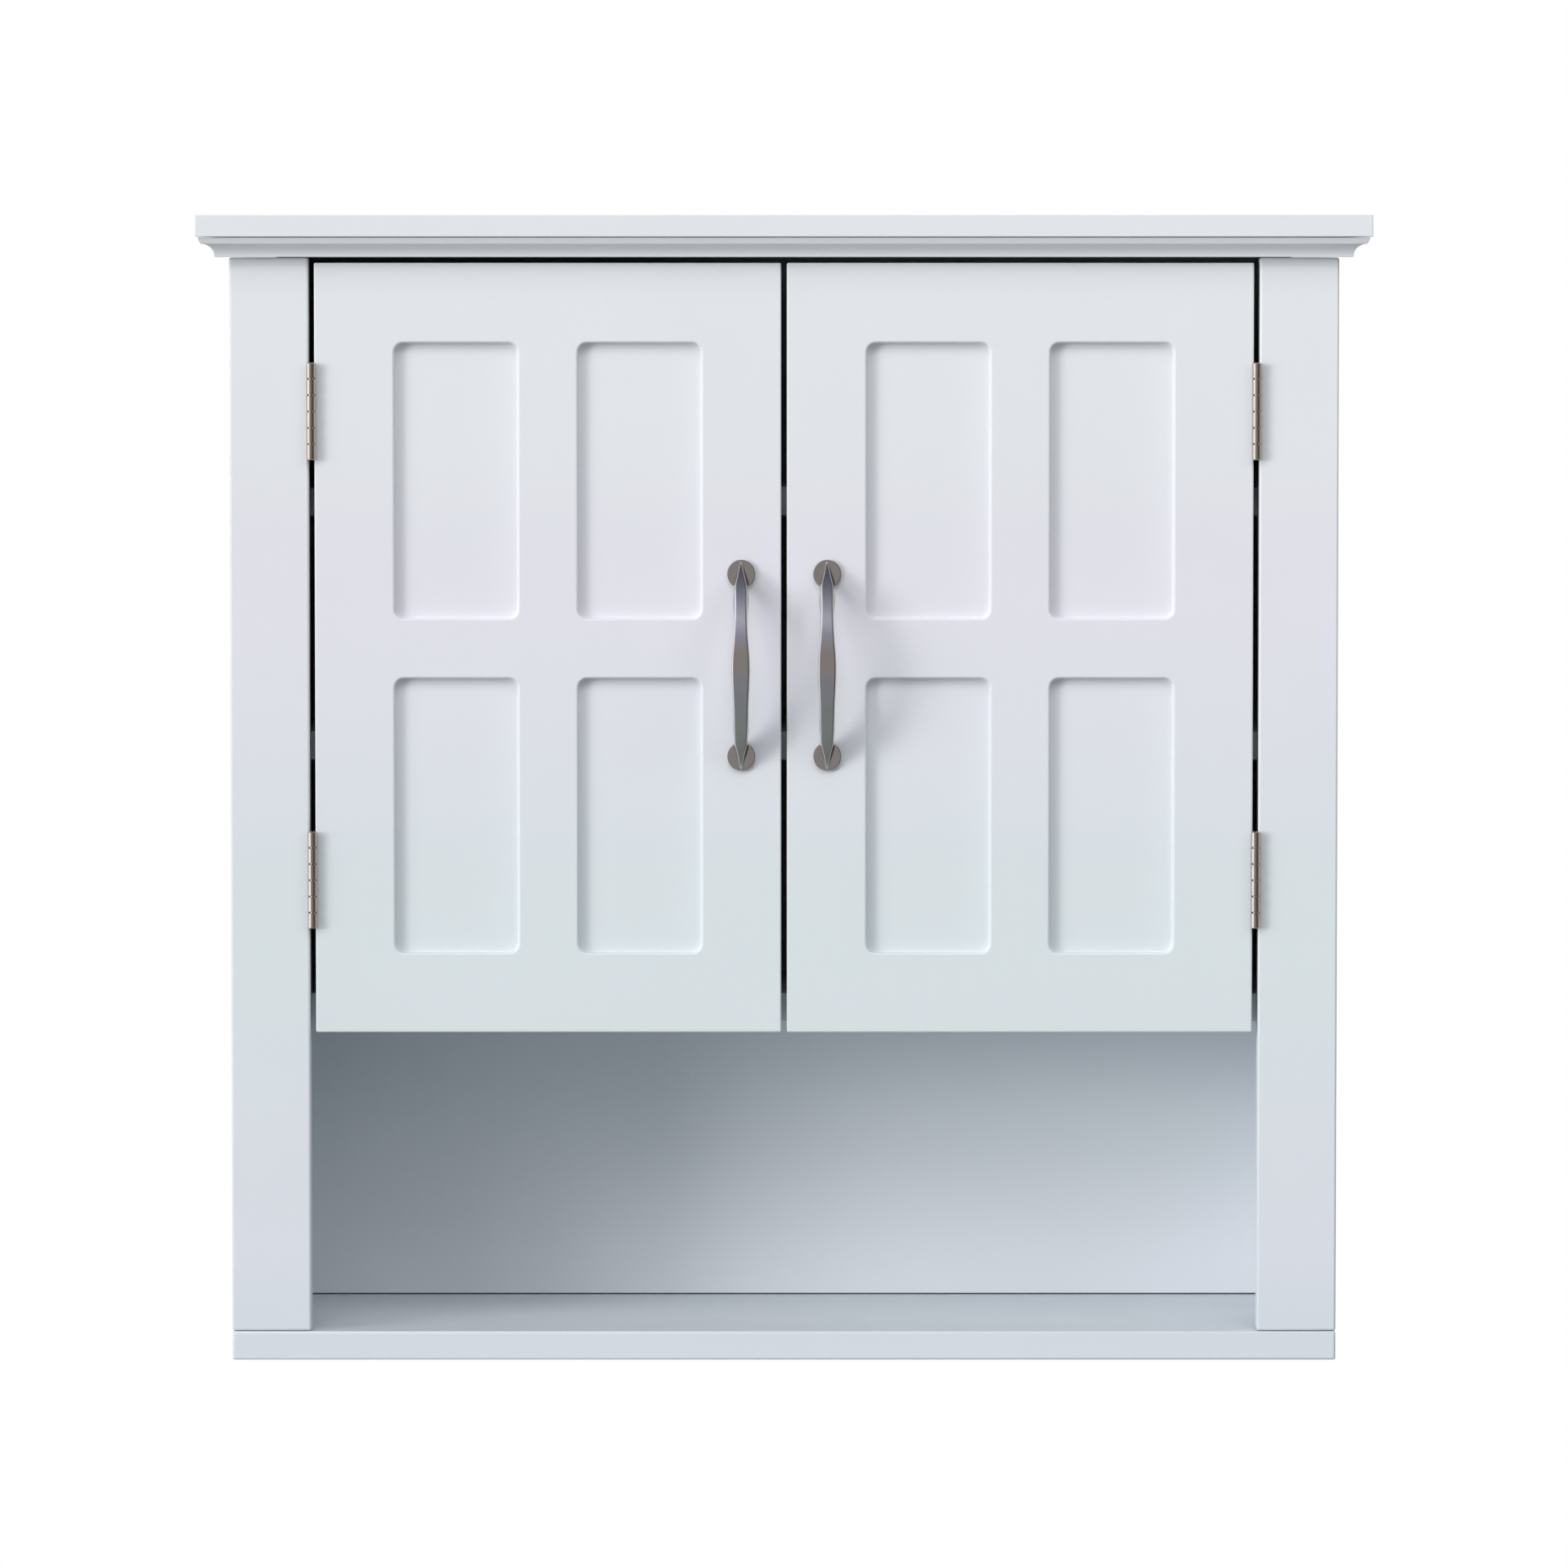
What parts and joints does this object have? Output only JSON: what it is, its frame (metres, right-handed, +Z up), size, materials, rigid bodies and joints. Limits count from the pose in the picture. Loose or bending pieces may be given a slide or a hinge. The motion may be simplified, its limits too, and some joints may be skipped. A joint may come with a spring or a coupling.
{
  "type": "wall cabinet",
  "caption": "White hanging cupboard with paired inset panelled doors on butt hinges, arched metal pulls, shelves inside, an open bay below and a moulded overhanging top.",
  "frame": {"origin": "middle of the hanging rail's back face, where the cabinet bears on the wall", "axes": "+X to the right of a person facing the doors, +Y into the wall, +Z up"},
  "size_m": [0.61, 0.214, 0.5978],
  "materials": {
    "white_paint": "satin paint on fibreboard",
    "white_hardboard": "satin white hardboard",
    "satin_nickel": "satin nickel",
    "zinc_steel": "zinc plated",
    "white_plastic": "matte",
    "ferrite": "matt",
    "clear_rubber": "clear soft"
  },
  "bodies": {
    "carcass": {"back_panel": "white_hardboard", "bottom_board": "white_paint", "cabinet_floor": "white_paint", "catch_case_left": "white_plastic", "catch_case_right": "white_plastic", "catch_magnet_left": "ferrite", "catch_magnet_right": "ferrite", "crown_front": "white_paint", "crown_left": "white_paint", "crown_right": "white_paint", "hanger_plate_left": "zinc_steel", "hanger_plate_right": "zinc_steel", "hanger_screw_left_lower": "zinc_steel", "hanger_screw_left_upper": "zinc_steel", "hanger_screw_right_lower": "zinc_steel", "hanger_screw_right_upper": "zinc_steel", "hanging_rail": "white_paint", "hinge_lower_left_frame_leaf": "satin_nickel", "hinge_lower_left_pin": "satin_nickel", "hinge_lower_right_frame_leaf": "satin_nickel", "hinge_lower_right_pin": "satin_nickel", "hinge_upper_left_frame_leaf": "satin_nickel", "hinge_upper_left_pin": "satin_nickel", "hinge_upper_right_frame_leaf": "satin_nickel", "hinge_upper_right_pin": "satin_nickel", "lower_rail": "white_paint", "shelf_lower": "white_paint", "shelf_pin_lower_left_back": "zinc_steel", "shelf_pin_lower_left_front": "zinc_steel", "shelf_pin_lower_right_back": "zinc_steel", "shelf_pin_lower_right_front": "zinc_steel", "shelf_pin_upper_left_back": "zinc_steel", "shelf_pin_upper_left_front": "zinc_steel", "shelf_pin_upper_right_back": "zinc_steel", "shelf_pin_upper_right_front": "zinc_steel", "shelf_upper": "white_paint", "side_panel_left": "white_paint", "side_panel_right": "white_paint", "stile_left": "white_paint", "stile_right": "white_paint", "top_board": "white_paint"},
    "left_door": {"bumper_left_inner": "clear_rubber", "bumper_left_outer": "clear_rubber", "door_left": "white_paint", "handle_left": "satin_nickel", "handle_screw_left_lower": "zinc_steel", "handle_screw_left_upper": "zinc_steel", "hinge_lower_left_door_leaf": "satin_nickel", "hinge_upper_left_door_leaf": "satin_nickel", "strike_plate_left": "zinc_steel"},
    "right_door": {"bumper_right_inner": "clear_rubber", "bumper_right_outer": "clear_rubber", "door_right": "white_paint", "handle_right": "satin_nickel", "handle_screw_right_lower": "zinc_steel", "handle_screw_right_upper": "zinc_steel", "hinge_lower_right_door_leaf": "satin_nickel", "hinge_upper_right_door_leaf": "satin_nickel", "strike_plate_right": "zinc_steel"}
  },
  "joints": [
    {"name": "left_door_hinge", "type": "hinge", "parent": "carcass", "child": "left_door", "pos_m": [-0.24575, -0.1885, -0.18055], "axis": [0, 0, -1], "range_deg": [0, 180]},
    {"name": "right_door_hinge", "type": "hinge", "parent": "carcass", "child": "right_door", "pos_m": [0.24575, -0.1885, -0.18055], "axis": [0, 0, 1], "range_deg": [0, 180]}
  ]
}
